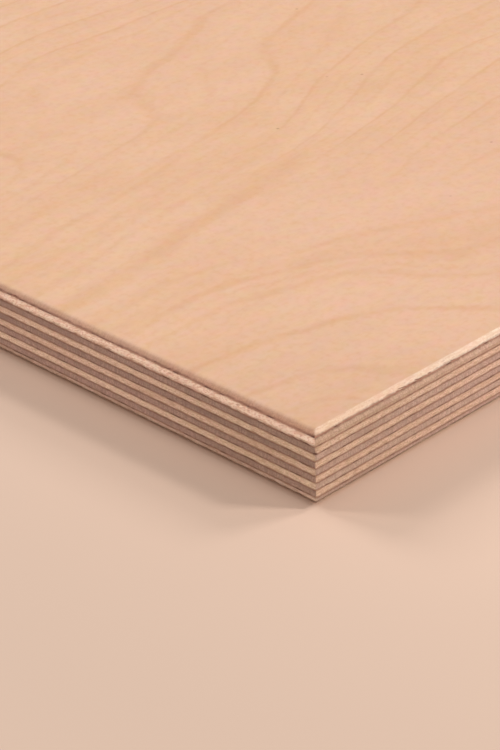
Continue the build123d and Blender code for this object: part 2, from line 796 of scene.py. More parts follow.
for piece in pieces.values():
    for axis, side in CORNER_SIDES:
        group_name = "corner_" + "xy"[axis] + ("_high" if side > 0 else "_low")
        wear(piece, group_name, partial(corner_weight, axis, side), rough_cloud, crumb_cell,
             side * CRUMB, "XY"[axis], MOSTLY_INWARDS)
print("corners crumble within mm:", round(CORNER_REACH / MM, 2))

# %% The notch
NOTCH = 0.55 * MM
NOTCH_REACH = 0.5 * MM
NOTCH_RISE = 0.5 * MM
NOTCH_ABOVE_GLUE = 0.2 * MM
notch_height = height_of_layer[plies[2]][0] + NOTCH_ABOVE_GLUE


def notch_weight(place):
    """One lost crumb at the near corner, where the third ply meets the glue below it."""
    is_near = place.x < 0 and place.y < 0
    across = fading(distance_from_corner(place), NOTCH_REACH)
    return across * fading(abs(place.z - notch_height), NOTCH_RISE) if is_near else 0.0


for piece in pieces.values():
    wear(piece, "notch", notch_weight, None, crumb_cell, -NOTCH, "NORMAL", NO_CLOUD)
for cell in cells:
    bpy.data.objects.remove(cell)
print("notch, mm above the floor:", round(notch_height / MM, 2))

# %% [markdown]
# ## Finishing the meshes
# Worn wood looks soft to the eye, but a layer still ends on a clear line at its glue.
# Flat shading would show every small face of the wall, and smooth shading alone would
# round off the layers. So the wall is smoothed by angle, and the rims between it and the
# flat sides are marked sharp. A point that the wear pushed out is put back on the outline.

# %% Finishing the meshes
SMOOTH_BELOW = math.radians(35)
NEARLY_LEVEL = 0.97


def rims_cap(edge):
    """Whether an edge lies between a flat side and the wall."""
    return len({abs(face.normal.z) > NEARLY_LEVEL for face in edge.link_faces}) == 2


def finish_mesh(piece):
    """Keeps the points inside the sheet's outline and smooths the wall, with crisp rims."""
    for vertex in piece.data.vertices:
        vertex.co.x = min(HALF_LENGTH, max(-HALF_LENGTH, vertex.co.x))
        vertex.co.y = min(HALF_WIDTH, max(-HALF_WIDTH, vertex.co.y))
        vertex.co.z = min(THICKNESS, max(0.0, vertex.co.z))
    select_only(piece)
    bpy.ops.object.shade_smooth_by_angle(angle=SMOOTH_BELOW)
    bpy.ops.object.mode_set(mode="EDIT")
    bpy.ops.mesh.select_mode(type="EDGE")
    pick(piece, "edges", rims_cap)
    bpy.ops.mesh.mark_sharp()
    bpy.ops.object.mode_set(mode="OBJECT")
    piece.vertex_groups.clear()


for piece in pieces.values():
    finish_mesh(piece)
triangles = sum(len(polygon.vertices) - 2 for piece in pieces.values() for polygon in piece.data.polygons)
print("worn and finished; triangles in all:", triangles)

# %% [markdown]
# ## Helpers for materials
# A material is a chain of small steps: a place on the wood, a pattern at that place, and
# the colour, roughness and height that the pattern stands for. All patterns are measured
# in millimetres on the sheet, so each cell size below can be checked with a ruler. A
# socket knows which node tree it belongs to, so a helper adds its node to the tree of the
# values it is given, and a formula reads like arithmetic.

# %% Adding a node
def add_node(tree, kind, inputs=None, **settings):
    """Adds a node, sets it up, and links or fills its inputs."""
    made = tree.nodes.new(kind)
    for name, value in settings.items():
        setattr(made, name, value)
    for key, value in (inputs or {}).items():
        if isinstance(value, bpy.types.NodeSocket):
            tree.links.new(value, made.inputs[key])
        else:
            made.inputs[key].default_value = value
    return made


def tree_of(*values):
    """The node tree of the first socket among some values."""
    return next(value.id_data for value in values if isinstance(value, bpy.types.NodeSocket))


# %% Arithmetic on sockets
def calc(operation, *values):
    """One step of arithmetic."""
    sizes = dict(enumerate(values))
    return add_node(tree_of(*values), "ShaderNodeMath", sizes, operation=operation).outputs[0]


# Each of these is the function calc with its operation filled in
plus = partial(calc, "ADD")
minus = partial(calc, "SUBTRACT")
times = partial(calc, "MULTIPLY")
over = partial(calc, "DIVIDE")
larger = partial(calc, "MAXIMUM")
smaller = partial(calc, "MINIMUM")
without_sign = partial(calc, "ABSOLUTE")
is_below = partial(calc, "LESS_THAN")
is_above = partial(calc, "GREATER_THAN")


def soft_step(value, start, end, low=0.0, high=1.0):
    """Goes softly from low to high while value goes from start to end."""
    sizes = {"Value": value, "From Min": start, "From Max": end, "To Min": low, "To Max": high}
    return add_node(value.id_data, "ShaderNodeMapRange", sizes, interpolation_type="SMOOTHSTEP").outputs[0]


# %% Mixing colours and numbers
def as_colour(value):
    """A colour socket as it is, and three numbers with full opacity."""
    return value if isinstance(value, bpy.types.NodeSocket) else (*value, 1)


# A Mix node takes its share at input 0, numbers at inputs 2 and 3, and colours at 6 and 7
def tint(first, second, share, blend="MIX"):
    """A colour between two colours."""
    sizes = {0: share, 6: as_colour(first), 7: as_colour(second)}
    tree = tree_of(first, second, share)
    return add_node(tree, "ShaderNodeMix", sizes, data_type="RGBA", blend_type=blend).outputs[2]


def between(first, second, share):
    """A number between two numbers."""
    sizes = {0: share, 2: first, 3: second}
    return add_node(tree_of(first, second, share), "ShaderNodeMix", sizes, data_type="FLOAT").outputs[0]


def kept_number(tree, label):
    """A number that was stored with the mesh."""
    kept = add_node(tree, "ShaderNodeAttribute", attribute_name=label, attribute_type="GEOMETRY")
    return kept.outputs["Fac"]


# %% Places in millimetres
def vector_calc(operation, sizes):
    """One step of arithmetic on a place or a colour."""
    return add_node(tree_of(*sizes.values()), "ShaderNodeVectorMath", sizes, operation=operation).outputs[0]


def millimetres(tree):
    """The place on the object, in millimetres."""
    place = add_node(tree, "ShaderNodeTexCoord").outputs["Object"]
    return vector_calc("SCALE", {0: place, "Scale": 1 / MM})


def parts_of(place):
    """The three parts of a place: along the sheet, across it and up."""
    return add_node(place.id_data, "ShaderNodeSeparateXYZ", {0: place}).outputs[:]


def joined(first, second, third):
    """A place put together from its three parts."""
    sizes = {0: first, 1: second, 2: third}
    return add_node(tree_of(first, second, third), "ShaderNodeCombineXYZ", sizes).outputs[0]


def in_cells(place, cell, shift):
    """A place measured in cells, moved by a shift so that two patterns don't agree."""
    return vector_calc("MULTIPLY_ADD", {0: place, 1: [1 / size for size in cell], 2: (shift, shift, shift)})


# %% Noise in millimetres
def noise_node(place, cell, detail, shift):
    """Soft noise with cells as large as cell says, in millimetres."""
    sizes = {"Vector": in_cells(place, cell, shift), "Scale": 1, "Detail": detail}
    return add_node(place.id_data, "ShaderNodeTexNoise", sizes)


def noise(place, cell, detail, shift):
    """One number of soft noise, around a half."""
    return noise_node(place, cell, detail, shift).outputs[0]


NOISE_MIDDLE = 0.5
WANDER_DETAIL = 2


def wandering(place, cell, reach, shift):
    """A number that wanders to both sides of zero, about as far as reach says."""
    return times(minus(noise(place, cell, WANDER_DETAIL, shift), NOISE_MIDDLE), 2 * reach)


# %% Flecks, and patterns laid over a colour
WEAKEST_FLECK = 0.35
FLECK_CORE = 0.3


def flecks(place, cell, radius, kept, shift, spread="3D"):
    """Small scattered flecks, each as strong as chance makes it, and nothing between them."""
    sizes = {"Vector": in_cells(place, cell, shift), "Scale": 1}
    cells = add_node(place.id_data, "ShaderNodeTexVoronoi", sizes, voronoi_dimensions=spread)
    chances = add_node(place.id_data, "ShaderNodeSeparateColor", {0: cells.outputs["Color"]}).outputs
    chosen = is_below(chances[0], kept)
    strength = soft_step(chances[1], 0.0, 1.0, WEAKEST_FLECK, 1.0)
    spot = soft_step(cells.outputs["Distance"], radius, FLECK_CORE * radius)
    return times(times(spot, strength), chosen)


def grained(place, colour, deeper, *patterns):
    """
    A colour with patterns of a deeper one laid over it in turn, and the noise of each.
    A pattern is its cell in millimetres, its detail and its shift, the noise at which
    the deeper colour starts and at which it is full, and its share there.
    """
    noises = []
    for cell, detail, shift, start, end, share in patterns:
        pattern = noise(place, cell, detail, shift)
        colour = tint(colour, deeper, soft_step(pattern, start, end, 0.0, share))
        noises.append(pattern)
    return colour, noises


# %% [markdown]
# ## Growth rings on a peeled veneer
# The face is peeled off a turning log, so it cuts the growth rings at a very flat angle,
# and they show as wide arches. Think of the rings as contour lines on a map: a field
# gives each point of the face a height, and a faint line is drawn where the height
# reaches a ring. Near the corner in the picture the field is a nest of arches, above
# them it is a gentle slope, and further in the slope is bent by slow noise. A material
# can draw all of this at once, and it stays sharp at any size of picture.

# %% The fields
NEAR_CORNER = (-HALF_LENGTH / MM, -HALF_WIDTH / MM)
ARCH_CENTRE = (-8.0, -6.0)
ARCH_STRETCH = 1.85
BAND_RISE = 0.18
# What makes a field wander: the cell, how far the field moves, the shift
ARCH_WANDERS = (((7, 4, 9), 1.1, 2.9), ((2, 1.6, 9), 0.4, 5.1))
SLOPE_WANDERS = (((30, 14, 40), 2.6, 6.6), ((4, 2, 9), 0.6, 1.3))
SLOPE_BEND = ((230, 95, 90), 62.0, 4.3)
# Where the arches are pushed in or out: how far to the right, how far away, the reach and the push
ARCH_BENDS = ((64.0, 20.0, 24.0, 5.0), (28.0, 52.0, 28.0, -4.0), (50.0, 40.0, 17.0, -2.0),
              (90.0, 30.0, 24.0, -1.5), (24.0, 0.0, 18.0, 4.5), (50.0, 58.0, 16.0, 3.5))


def from_corner(place):
    """The distances to the right of the near corner, and away from it."""
    along, across, _ = parts_of(place)
    return minus(along, NEAR_CORNER[0]), minus(across, NEAR_CORNER[1])


def length_of(right, away):
    """The distance of a place from its centre."""
    return calc("SQRT", plus(times(right, right), times(away, away)))


def wandered(place, field, wanders):
    """A field with its wanders added."""
    for cell, reach, shift in wanders:
        field = plus(field, wandering(place, cell, reach, shift))
    return field


def arch_field(place, right, away):
    """The nest of arches: each lies as far from the centre as its number says."""
    narrowed = over(minus(right, ARCH_CENTRE[0]), ARCH_STRETCH)
    raised = minus(away, ARCH_CENTRE[1])
    field = wandered(place, length_of(narrowed, raised), ARCH_WANDERS)
    for middle_right, middle_away, reach, push in ARCH_BENDS:
        off = length_of(minus(right, middle_right), minus(away, middle_away))
        field = plus(field, soft_step(off, reach, 0.0, 0.0, push))
    return field


def slope_field(place, right, away):
    """The slope above the arches."""
    return wandered(place, minus(away, times(right, BAND_RISE)), SLOPE_WANDERS)


print("pushes on the arches:", len(ARCH_BENDS))

# %% Rings one by one
# The rings that the picture shows: the height of each, its half width and its strength
ARCH_RINGS = ((16.5, 0.5, 0.5), (24.7, 0.55, 0.9), (38.3, 0.65, 1.0), (50.7, 0.7, 0.7), (53.4, 0.5, 0.35),
              (56.5, 0.9, 1.0), (59.0, 1.8, 0.45), (64.5, 0.9, 0.6))
SLOPE_BANDS = ((58.0, 1.0, 0.4), (66.0, 2.1, 0.95), (74.5, 0.8, 0.6), (78.0, 0.7, 0.3), (81.5, 0.8, 0.5),
               (87.5, 0.8, 0.8), (97.0, 2.0, 0.6), (107.0, 1.0, 0.5))
RING_FADE = 2.2


def drawn_rings(field, rings):
    """The darkness of the rings at a height of their field."""
    darkness = 0.0
    for height, half_width, strength in rings:
        off = without_sign(minus(field, height))
        darkness = larger(soft_step(off, RING_FADE * half_width, 0.0, 0.0, strength), darkness)
    return darkness


print("rings drawn by hand:", len(ARCH_RINGS) + len(SLOPE_BANDS))

# %% Rings in plenty
# A thin ring lies where one step of the pattern ends and the next begins. It sets in over
# the end of a step and fades over the start of the next. A fainter ring lies near the
# middle, and a soft shade leads from there up to the thin one. All are shares of a step,
# and the last two numbers of a line are its darkness where it starts and where it ends.
RING_STEP = 13.0
BEFORE_RING = (0.90, 1.0)
AFTER_RING = (0.09, 0.0)
FAINT_RING_AT = 0.56
FAINT_RING = (0.10, 0.0, 0.0, 0.45)
RING_SHADE = (0.5, 1.0, 0.0, 0.35)
# Noise for the stripes: the cell, the detail, the shift
STRIPES = ((2.6, 26.0, 26.0), 3, 12.0)


def many_rings(field):
    """The same pattern over and over: a thin line, with a softer shade on one side of it."""
    share = calc("FRACT", over(field, RING_STEP))
    thin = plus(soft_step(share, *BEFORE_RING), soft_step(share, *AFTER_RING))
    faint = soft_step(without_sign(minus(share, FAINT_RING_AT)), *FAINT_RING)
    return larger(larger(thin, faint), soft_step(share, *RING_SHADE))


def banded(place, field):
    """Soft stripes that follow the rings of a field."""
    along, across, _ = parts_of(place)
    return noise(joined(field, along, across), *STRIPES)


print("ring step mm:", RING_STEP)

# %% The whole figure of the face
# The heights of the slope between which the arches give way to it, and the distances from
# the corner between which the drawn rings give way to the pattern
ARCHES_END = (54.0, 64.0)
PICTURE_END = (95.0, 135.0)
# Noise that makes the rings fainter in places, and the strengths that it stands for
FAINTER = ((16, 9, 40), 3, 7.7)
RING_STRENGTH = (0.32, 0.62, 0.45, 1.0)


def ring_pattern(place):
    """How dark the rings are at a place on the face, and the stripes of hue between them."""
    right, away = from_corner(place)
    arch = arch_field(place, right, away)
    slope = slope_field(place, right, away)
    bent = plus(slope, wandering(place, *SLOPE_BEND))
    above = soft_step(slope, *ARCHES_END)
    beyond = soft_step(length_of(right, away), *PICTURE_END)
    near = between(drawn_rings(arch, ARCH_RINGS), drawn_rings(slope, SLOPE_BANDS), above)
    lines = between(near, many_rings(bent), beyond)
    near_stripes = between(banded(place, arch), banded(place, slope), above)
    stripes = between(near_stripes, banded(place, bent), beyond)
    return times(lines, soft_step(noise(place, *FAINTER), *RING_STRENGTH)), stripes


print("drawn rings end, mm from the corner:", PICTURE_END)

# %% [markdown]
# ## Handling, and a wandering hue
# Corners are what hands and floors touch first, so the wood is a little greyer there.
# The grey could be painted on, but as a function of the distance to a corner it lies on
# all four. And no two fibres have quite the same colour: wood in which red, green and
# blue go up and down together looks like painted card. A coloured noise multiplies the
# wood's colour, so that each of the three wanders a little by itself.

# %% Handled corners
FACE_DIRT = (0.945, 0.940, 0.930)
EDGE_DIRT = (0.895, 0.908, 0.868)
BEVEL_DIRT = (0.929, 0.858, 0.805)
NO_DIRT = (1.0, 1.0, 1.0)
# How far from a corner the grey sets in, and how near to it the grey is full
DIRT_ENDS = (55.0, 8.0)


def inside_outline(place):
    """How far a place lies inside the nearer end, and inside the nearer side."""
    along, across, _ = parts_of(place)
    from_end = minus(HALF_LENGTH / MM, without_sign(along))
    return from_end, minus(HALF_WIDTH / MM, without_sign(across))


def handled(place, colour, dirt):
    """A colour with the grey of hands on it, near the corners."""
    from_end, from_side = inside_outline(place)
    share = soft_step(length_of(from_end, from_side), *DIRT_ENDS)
    return tint(colour, dirt, share, "MULTIPLY")


print("the grey of hands ends, mm from a corner:", DIRT_ENDS[0])

# %% Wandering hue
HUE_DETAIL = 3
HUE_SHIFT = 21.0


def wandering_hue(place, colour, cell, reach):
    """A colour whose red, green and blue each wander a little by themselves."""
    wander = noise_node(place, cell, HUE_DETAIL, HUE_SHIFT).outputs["Color"]
    factor = vector_calc("MULTIPLY_ADD", {0: wander, 1: [reach] * 3, 2: [1 - reach * NOISE_MIDDLE] * 3})
    return tint(colour, factor, 1.0, "MULTIPLY")


# %% [markdown]
# ## The sanded face
# Birch is pale and even. Under the rings lie slow clouds of a deeper tone, a hint of pink
# here and there, short fibres along the grain and a few brown specks. A picture of wood
# could be laid on the face, but it would blur close up and repeat on a large sheet, and
# noise does neither. Each pattern is faint by itself. Together they keep the face from
# looking like paint.

# %% The sanded face
FACE_PALE = (0.756, 0.479, 0.331)
FACE_DEEP = (0.706, 0.418, 0.258)
FACE_PINK = (0.751, 0.460, 0.336)
RING_COLOUR = (0.590, 0.276, 0.095)
FLECK_COLOUR = (0.350, 0.170, 0.100)
YELLOW_HUE = (1.0, 1.004, 0.955)
PINK_HUE = (1.0, 0.991, 1.026)
RING_SHARE = 0.27
# Patterns as grained takes them
CLOUDS = ((24, 11, 30), 3, 1.1, 0.30, 0.70, 0.55)
WARMTH = ((150, 90, 90), 1, 5.9, 0.35, 0.65, 0.50)
FIBRES = ((2.2, 0.40, 1.0), 3, 2.5, 0.42, 0.75, 0.13)
MOTTLE = ((1.5, 1.5, 1.0), 3, 8.1, 0.40, 0.82, 0.20)
# Noise between the yellow and the pink hue, its share beside the stripes, and where the hue turns
BLOTCHES = ((5.0, 3.0, 5.0), 3, 14.0)
BLOTCH_SHARE = 0.85
HUE_TURNS = (0.39, 0.61)
# Flecks: the cell, the radius, the share that is kept, the shift
SPECKS = ((9.0, 7.5, 4.0), 0.062, 0.5, 0.0)
PORES = ((1.5, 1.1, 1.0), 0.24, 0.3, 3.3)
SPECK_SHARE = 0.55
PORE_SHARE = 0.05
# A step as soft_step takes it: from one noise to another, and the roughness at each
FACE_ROUGHNESS = (0.3, 0.7, 0.50, 0.62)
FIBRE_HEIGHT = 0.5
PORE_DEPTH = 0.6


def sanded_face(place):
    """Colour, roughness and height of the sanded face."""
    clouded, _ = grained(place, FACE_PALE, FACE_DEEP, CLOUDS)
    ground, _ = grained(place, clouded, FACE_PINK, WARMTH)
    lines, stripes = ring_pattern(place)
    hue = soft_step(between(stripes, noise(place, *BLOTCHES), BLOTCH_SHARE), *HUE_TURNS)
    ground = tint(ground, tint(YELLOW_HUE, PINK_HUE, hue), 1.0, "MULTIPLY")
    ringed = tint(ground, RING_COLOUR, times(lines, RING_SHARE))
    fibred, (fibres,) = grained(place, ringed, FACE_DEEP, FIBRES)
    mottled, _ = grained(place, fibred, RING_COLOUR, MOTTLE)
    pores = flecks(place, *PORES)
    marks = larger(times(flecks(place, *SPECKS), SPECK_SHARE), times(pores, PORE_SHARE))
    height = minus(times(fibres, FIBRE_HEIGHT), times(pores, PORE_DEPTH))
    return tint(mottled, FLECK_COLOUR, marks), soft_step(fibres, *FACE_ROUGHNESS), height


print("fibres of the face mm:", FIBRES[0][:2])

# %% [markdown]
# ## The cut edge
# Where a veneer is cut along its fibres, they lie open as pale strokes. Where it is cut
# across them, their open ends drink the light, and it is a third darker. The fibres are
# a few tenths of a millimetre thick, so they are drawn by noise and not modelled. Both
# patterns run along the edge, so they need to know which edge a point is on: the nearer
# one. The glue soaks a little way into the wood, most into end grain. The dark plies are
# darker along their top rim than along their bottom one.

# %% Which edge a point is on
# How far on either side of the mitre the two grains mix: on the wall, and on the bevel
MITRE_BLUR = (-0.10, 0.16)
FACE_MITRE_BLUR = (-0.30, 0.45)


def edge_place(place, blur=MITRE_BLUR):
    """
    How much a point belongs to a short edge, its distance inside the outline, and its
    place along the edge, up it and into the sheet.
    """
    along, across, up = parts_of(place)
    from_end, from_side = inside_outline(place)
    on_end = is_below(from_end, from_side)
    on_edge = joined(between(along, across, on_end), up, between(across, along, on_end))
    blurred = soft_step(minus(from_side, from_end), *blur)
    return blurred, smaller(from_end, from_side), on_edge


# %% Glue that has soaked in
GLUE_STAIN = (0.252, 0.115, 0.074)
STAIN_WANDER = ((0.7, 2.6, 9.0), 0.14, 3.9)
STAIN_PATCHES = ((2.6, 1.2, 9.0), 3, 4.4)
PATCH_STRENGTH = (0.3, 0.6, 0.5, 1.0)


def stained(on_edge, colour, upper, lower):
    """A wood's colour with the glue of the joints above and below, each with its reach and strength."""
    height = plus(kept_number(tree_of(on_edge), "layer_height"), wandering(on_edge, *STAIN_WANDER))
    from_above = soft_step(height, 1 - upper[0], 1.0, 0.0, upper[1])
    from_below = soft_step(height, lower[0], 0.0, 0.0, lower[1])
    uneven = soft_step(noise(on_edge, *STAIN_PATCHES), *PATCH_STRENGTH)
    return tint(colour, GLUE_STAIN, times(larger(from_above, from_below), uneven))


# %% Long grain on the edge
# The patterns here and in the next two cells are as grained takes them
LONG_PALE = (0.945, 0.630, 0.490)
LONG_DEEP = (0.630, 0.355, 0.242)
DASH_BROWN = (0.380, 0.180, 0.110)
STROKES = ((1.9, 0.20, 5.0), 3, 0.0, 0.40, 0.68, 0.85)
GRIT = ((0.36, 0.20, 5.0), 2, 6.1, 0.47, 0.66, 0.85)
BROAD_STROKES = ((11, 1.2, 40), 2, 2.2, 0.42, 0.70, 0.35)
# Flecks: the cell, the radius, the share that is kept, the shift
DASHES = ((1.5, 0.40, 9.0), 0.34, 0.26, 1.9)
DASH_SHARE = 0.45
GRIT_HEIGHT = 0.5


def long_grain(on_edge, pale, deep):
    """Colour and height of fibres that lie along the edge."""
    colour, (strokes, grit, _) = grained(on_edge, pale, deep, STROKES, GRIT, BROAD_STROKES)
    dashes = flecks(on_edge, *DASHES)
    height = minus(plus(strokes, times(grit, GRIT_HEIGHT)), dashes)
    return tint(colour, DASH_BROWN, times(dashes, DASH_SHARE)), height


print("strokes of long grain mm:", STROKES[0][:2])

# %% Torn grain on the edge
TORN_PALE = (0.998, 0.702, 0.546)
TORN_DEEP = (0.790, 0.425, 0.305)
STREAK_RISE = 0.13
SPLINTERS = ((2.6, 0.26, 6.0), 3, 0.7, 0.51, 0.66, 0.75)
HAIRS = ((0.50, 0.19, 6.0), 2, 7.3, 0.50, 0.64, 0.85)
TORN_PATCHES = ((3.0, 0.9, 6.0), 2, 3.6, 0.50, 0.72, 0.3)
HAIR_HEIGHT = 0.5


def leaning(on_edge):
    """A place along the edge whose streaks rise a little towards the near corner."""
    along, up, inwards = parts_of(on_edge)
    return joined(along, plus(up, times(along, STREAK_RISE)), inwards)


def torn_grain(on_edge):
    """Colour and height of fibres that were torn open: long leaning splinters with brown between them."""
    patterns = (SPLINTERS, HAIRS, TORN_PATCHES)
    colour, (splinters, hairs, _) = grained(leaning(on_edge), TORN_PALE, TORN_DEEP, *patterns)
    return colour, minus(1.0, plus(splinters, times(hairs, HAIR_HEIGHT)))


print("splinters mm:", SPLINTERS[0][:2])

# %% End grain on the edge
UPRIGHT_STREAKS = ((0.26, 1.3, 5.0), 2, 9.4, 0.38, 0.70, 0.7)
OPEN_PORES = ((0.22, 0.22, 5.0), 2, 3.8, 0.44, 0.66, 0.95)
END_PATCHES = ((9, 1.5, 40), 2, 8.8, 0.44, 0.72, 0.5)
END_TONE_REACH = (0.92, 1.08)
STREAK_HEIGHT = 0.4


def end_grain(on_edge, pale, deep):
    """Colour and height of fibres that end at the edge."""
    colour, (upright, pores, _) = grained(on_edge, pale, deep, UPRIGHT_STREAKS, OPEN_PORES, END_PATCHES)
    strength = between(*END_TONE_REACH, kept_number(tree_of(on_edge), "end_tone"))
    return vector_calc("SCALE", {0: colour, "Scale": strength}), minus(times(upright, STREAK_HEIGHT), pores)


print("pores of end grain mm:", OPEN_PORES[0][:2])

# %% Putting a wood material together
PALE_TONE = (1.050, 1.060, 1.045)
PINK_TONE = (0.975, 0.940, 0.940)
RELIEF = 0.05 * MM
EDGE_GLOSS = 0.25
# From one height to another, and the roughness at each
EDGE_ROUGHNESS = (0.2, 1.2, 0.70, 0.88)
EDGE_HUE_CELL = (1.2, 1.2, 1.2)
EDGE_HUE_REACH = 0.13


def wood_material(name):
    """An empty material with its shader and its place in millimetres."""
    material = bpy.data.materials.new(name)
    material.use_nodes = True
    tree = material.node_tree
    return material, tree, tree.nodes["Principled BSDF"], millimetres(tree)


def add_relief(tree, shader, height, depth):
    """Turns a height into a fine relief, depth metres deep."""
    bump = add_node(tree, "ShaderNodeBump", {"Height": height, "Distance": depth, "Strength": 1.0})
    tree.links.new(bump.outputs[0], shader.inputs["Normal"])


def toned(colour):
    """A colour moved towards the veneer's own tone, from a pale yellow to a deeper pink."""
    tone = tint(PALE_TONE, PINK_TONE, kept_number(tree_of(colour), "veneer_tone"))
    return tint(colour, tone, 1.0, "MULTIPLY")


def dress(tree, shader, place, colour, dirt, height):
    """Gives the shader a wood's colour, roughness and relief."""
    varied = wandering_hue(place, toned(colour), EDGE_HUE_CELL, EDGE_HUE_REACH)
    tree.links.new(handled(place, varied, dirt), shader.inputs["Base Color"])
    tree.links.new(soft_step(height, *EDGE_ROUGHNESS), shader.inputs["Roughness"])
    shader.inputs["Specular IOR Level"].default_value = EDGE_GLOSS
    add_relief(tree, shader, height, RELIEF)


# %% [markdown]
# ## The inner veneers
# A veneer shows long grain on two edges of the sheet and end grain on the other two. The
# walls could have a material each, but the record keeps one slot for a veneer. So the
# material holds both grains and changes over at the corner. The second ply is torn on
# the short edges. The last but one is painted darker there, as painted shade near the floor.

# %% The long veneers
# A pale colour and a deeper one for each kind of end grain
END_OF_LONG = ((0.530, 0.315, 0.255), (0.330, 0.185, 0.148))
# The stain of the glue above and of the glue below: the share of the layer that it reaches, and its strength
RIM_OF_PALE = ((0.22, 0.45), (0.24, 0.55))
RIM_OF_LONG_END = ((0.32, 0.85), (0.22, 0.70))


def long_veneer(name):
    """An inner ply whose grain runs along the sheet: pale on the long edges, dark on the short ones."""
    material, tree, shader, place = wood_material(name)
    on_end, _, on_edge = edge_place(place)
    side_colour, side_height = long_grain(on_edge, LONG_PALE, LONG_DEEP)
    side_colour = stained(on_edge, side_colour, *RIM_OF_PALE)
    end_colour, end_height = end_grain(on_edge, *END_OF_LONG)
    end_colour = stained(on_edge, end_colour, *RIM_OF_LONG_END)
    relief = between(side_height, end_height, on_end)
    dress(tree, shader, place, tint(side_colour, end_colour, on_end), EDGE_DIRT, relief)
    return material


finishes = {"birch_long_veneer": long_veneer("birch_long_veneer")}
print("long veneer:", len(finishes["birch_long_veneer"].node_tree.nodes), "nodes")

# %% The cross veneers
# The second ply has paler end grain than the cross veneers below it
END_OF_CROSS = ((0.710, 0.450, 0.370), (0.490, 0.290, 0.230))
FRESH_END = ((0.760, 0.480, 0.355), (0.550, 0.320, 0.230))
RIM_OF_CROSS_END = ((0.22, 0.75), (0.20, 0.70))
RIM_OF_TORN = ((0.14, 0.50), (0.34, 0.75))
TICK_COLOUR = (0.460, 0.205, 0.135)
# Ticks are flecks that reach through all depths, and lie above these heights of the layer
TICKS = ((2.2, 0.42, 9.0), 0.32, 0.30, 5.5, "2D")
TICKS_START = (0.45, 0.8)
TICK_SHARE = 0.8
# Painted shade for the short edges of the last but one ply, near the floor, and the height below which that
# ply lies
LAST_PLY_PAINTED_SHADE = (0.835, 0.855, 0.880)
LAYER_MARGIN = 0.4
TORN_ABOVE = height_of(second_ply)[0] / MM - LAYER_MARGIN
LAST_PLY_BELOW = height_of(second_last_ply)[1] / MM + LAYER_MARGIN


def torn_side(on_edge):
    """Colour and height of the second ply on the short edges, with brown ticks in its upper half."""
    colour, height = torn_grain(on_edge)
    upper_half = soft_step(kept_number(tree_of(on_edge), "layer_height"), *TICKS_START)
    ticks = times(flecks(leaning(on_edge), *TICKS), upper_half)
    ticked = tint(colour, TICK_COLOUR, times(ticks, TICK_SHARE))
    return stained(on_edge, ticked, *RIM_OF_TORN), height


def cross_veneer(name):
    """An inner ply whose grain runs across: pale on the short edges, where the second one is torn open."""
    material, tree, shader, place = wood_material(name)
    on_end, _, on_edge = edge_place(place)
    _, _, level = parts_of(place)
    is_second = is_above(level, TORN_ABOVE)
    is_last = is_below(level, LAST_PLY_BELOW)
    plain_colour, plain_height = long_grain(on_edge, LONG_PALE, LONG_DEEP)
    plain_colour = stained(on_edge, plain_colour, *RIM_OF_PALE)
    torn_colour, torn_height = torn_side(on_edge)
    # Painted shade: the last but one ply is darker on the short edges, near the floor
    pale = tint(tint(plain_colour, torn_colour, is_second), LAST_PLY_PAINTED_SHADE, is_last, "MULTIPLY")
    inner_end, end_height = end_grain(on_edge, *END_OF_CROSS)
    second_end, _ = end_grain(on_edge, *FRESH_END)
    dark = stained(on_edge, tint(inner_end, second_end, is_second), *RIM_OF_CROSS_END)
    relief = between(end_height, between(plain_height, torn_height, is_second), on_end)
    dirt = tint(EDGE_DIRT, NO_DIRT, times(larger(is_second, is_last), on_end))
    dress(tree, shader, place, tint(dark, pale, on_end), dirt, relief)
    return material


finishes["birch_cross_veneer"] = cross_veneer("birch_cross_veneer")
print("cross veneer:", len(finishes["birch_cross_veneer"].node_tree.nodes), "nodes")

# %% [markdown]
# ## The face veneer and its bevel
# This veneer shows two surfaces: the sanded face, and the slope of the bevel, which is
# cut and not sanded. With a material for each, the line between them would be as straight
# as the mesh. One material can hold both and change over by the distance from the
# outline: crisply along the grain, and frayed by noise across it. Dark slivers lie at
# the foot of the bevel, and near the corner a few fine cracks rise from the glue.

# %% Cracks and slivers in the bevel
SLIVER_COLOUR = (0.330, 0.130, 0.085)
# Slivers are such flecks too, and lie below these heights of the layer
SLIVERS = ((2.2, 0.40, 9.0), 0.30, 0.30, 6.6, "2D")
SLIVERS_END = (0.50, 0.10)
SLIVER_SHARE = 0.85
# Cracks near the corner: where each starts and ends, how far it rises above the glue, its half width
CRACKS_SEEN = ((21.9, 24.7, 0.26, 0.075), (26.4, 28.4, 0.22, 0.080), (36.0, 37.6, 0.14, 0.050))
CRACK_CORE = 0.3
# Shares of its length over which a crack sets in, and over which it runs out
CRACK_STARTS = (0.0, 0.25)
CRACK_ENDS = (1.1, 1.0)


def cracks(place):
    """Fine cracks that rise from the first glue line of the near long edge."""
    along, across, up = parts_of(place)
    right = minus(along, NEAR_CORNER[0])
    above_glue = minus(up, first_seam / MM)
    darkness = 0.0
    for start, end, rise, half_width in CRACKS_SEEN:
        share = over(minus(right, start), end - start)
        middle = times(minus(1.0, share), rise)
        line = soft_step(without_sign(minus(above_glue, middle)), half_width, CRACK_CORE * half_width)
        ends = times(soft_step(share, *CRACK_STARTS), soft_step(share, *CRACK_ENDS))
        darkness = larger(times(line, ends), darkness)
    return times(darkness, is_below(across, 0.0))


def slivered(place, on_edge, colour):
    """The bevel's long grain with the dark slivers and cracks at its foot."""
    foot = soft_step(kept_number(tree_of(place), "layer_height"), *SLIVERS_END)
    slivers = times(times(flecks(on_edge, *SLIVERS), foot), SLIVER_SHARE)
    return tint(colour, SLIVER_COLOUR, larger(slivers, cracks(place)))


print("cracks:", len(CRACKS_SEEN))

